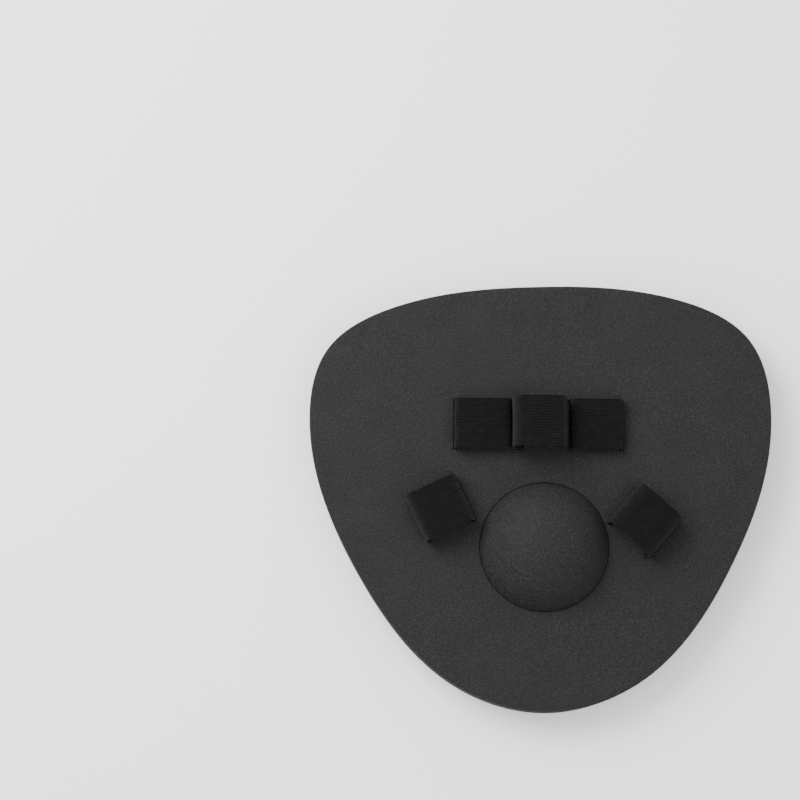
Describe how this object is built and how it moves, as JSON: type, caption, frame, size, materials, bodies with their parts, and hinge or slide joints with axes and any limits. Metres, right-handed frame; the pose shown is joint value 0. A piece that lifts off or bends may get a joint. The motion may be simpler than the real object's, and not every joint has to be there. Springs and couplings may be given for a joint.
{
  "type": "palm-held striking pad",
  "caption": "Flat foam striking pad held in the palm by elastic finger loops, with a rounded palm dome on its back; martial arts hand target.",
  "frame": {"origin": "on the striking face, under the middle of the board's outline; the pad lies on that face", "axes": "+X towards the thumb loop, +Y towards the fingertips, +Z out of the back, towards the hand"},
  "size_m": [0.231, 0.213, 0.04],
  "materials": {
    "board_skin": "matte fine leathery grain, dark grey",
    "board_foam": "matte cut closed-cell foam, near black",
    "dome_cover": "matte leathery grain stretched over the dome, dark grey",
    "dome_foam": "matte closed-cell foam, near black",
    "elastic": "matte ribbed woven elastic, black"
  },
  "bodies": {
    "board": {"strike_skin": "board_skin", "strike_foam": "board_foam", "back_foam": "board_foam", "back_skin": "board_skin", "palm_dome_foam": "dome_foam", "palm_dome_cover": "dome_cover"},
    "ring_band": {"ring_finger_loop": "elastic"},
    "middle_band": {"middle_finger_loop": "elastic"},
    "index_band": {"index_finger_loop": "elastic"},
    "thumb_band": {"thumb_loop": "elastic"},
    "little_band": {"little_finger_loop": "elastic"}
  },
  "joints": [
    {"name": "ring_stretch", "type": "slide", "parent": "board", "child": "ring_band", "axis": [0, 0, 1], "range_m": [0, 0.015], "stiffness_N_per_m": 600, "deforming": ["ring_finger_loop"]},
    {"name": "middle_stretch", "type": "slide", "parent": "board", "child": "middle_band", "axis": [0, 0, 1], "range_m": [0, 0.005], "stiffness_N_per_m": 600, "deforming": ["middle_finger_loop"]},
    {"name": "index_stretch", "type": "slide", "parent": "board", "child": "index_band", "axis": [0, 0, 1], "range_m": [0, 0.015], "stiffness_N_per_m": 600, "deforming": ["index_finger_loop"]},
    {"name": "thumb_stretch", "type": "slide", "parent": "board", "child": "thumb_band", "axis": [0, 0, 1], "range_m": [0, 0.008], "stiffness_N_per_m": 600, "deforming": ["thumb_loop"]},
    {"name": "little_stretch", "type": "slide", "parent": "board", "child": "little_band", "axis": [0, 0, 1], "range_m": [0, 0.008], "stiffness_N_per_m": 600, "deforming": ["little_finger_loop"]}
  ]
}
